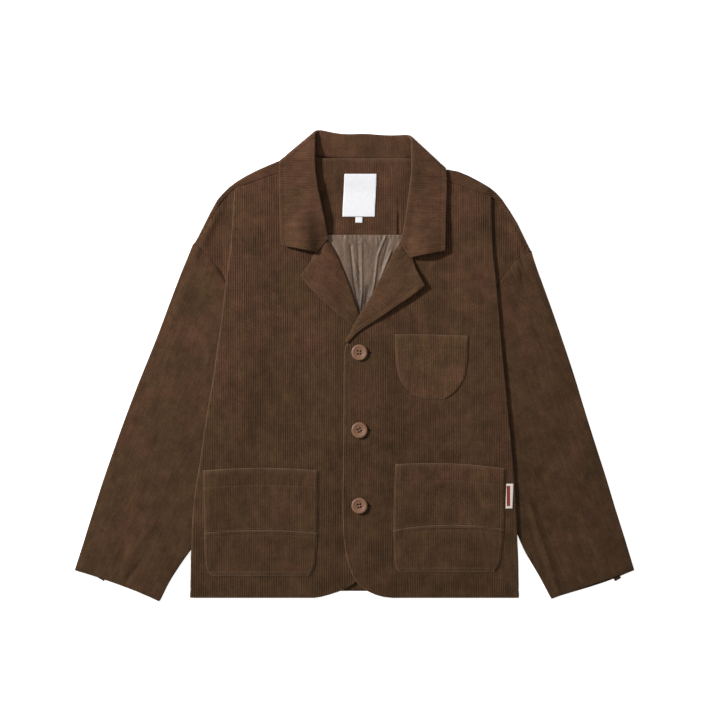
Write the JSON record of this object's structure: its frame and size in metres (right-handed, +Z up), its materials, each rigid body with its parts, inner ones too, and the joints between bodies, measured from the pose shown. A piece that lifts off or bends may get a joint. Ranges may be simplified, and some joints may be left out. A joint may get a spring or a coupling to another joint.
{
  "type": "corduroy jacket",
  "caption": "Brown corduroy jacket laid flat, front up: notched lapels, patch pockets, chest pocket and buttoned front.",
  "frame": {"origin": "centre of the bounding box on the surface the jacket lies on", "axes": "+X to the wearer's left, +Y towards the collar, +Z up out of the front"},
  "size_m": [0.838, 0.7043, 0.0146],
  "materials": {
    "corduroy": "brown fine-wale corduroy",
    "facing": "brown fine-wale corduroy on lapels and neck facing",
    "lining": "taupe satin lining",
    "label": "bare white woven label",
    "side_tab": "bare cream and red woven tab",
    "button": "brown horn-look resin"
  },
  "bodies": {
    "root": {"back": "corduroy", "front_right": "corduroy", "front_left": "corduroy", "sleeve_right": "corduroy", "sleeve_left": "corduroy", "vent_right": "corduroy", "vent_left": "corduroy", "lapel_right": "facing", "lapel_left": "facing", "collar": "corduroy", "back_lining": "lining", "back_neck_facing": "facing", "neck_label": "label", "size_tab": "label", "pocket_right": "corduroy", "pocket_right_lower": "corduroy", "pocket_left": "corduroy", "pocket_left_lower": "corduroy", "pocket_chest": "corduroy", "side_label": "side_tab", "button_top": "button", "button_middle": "button", "button_bottom": "button"}
  },
  "joints": []
}
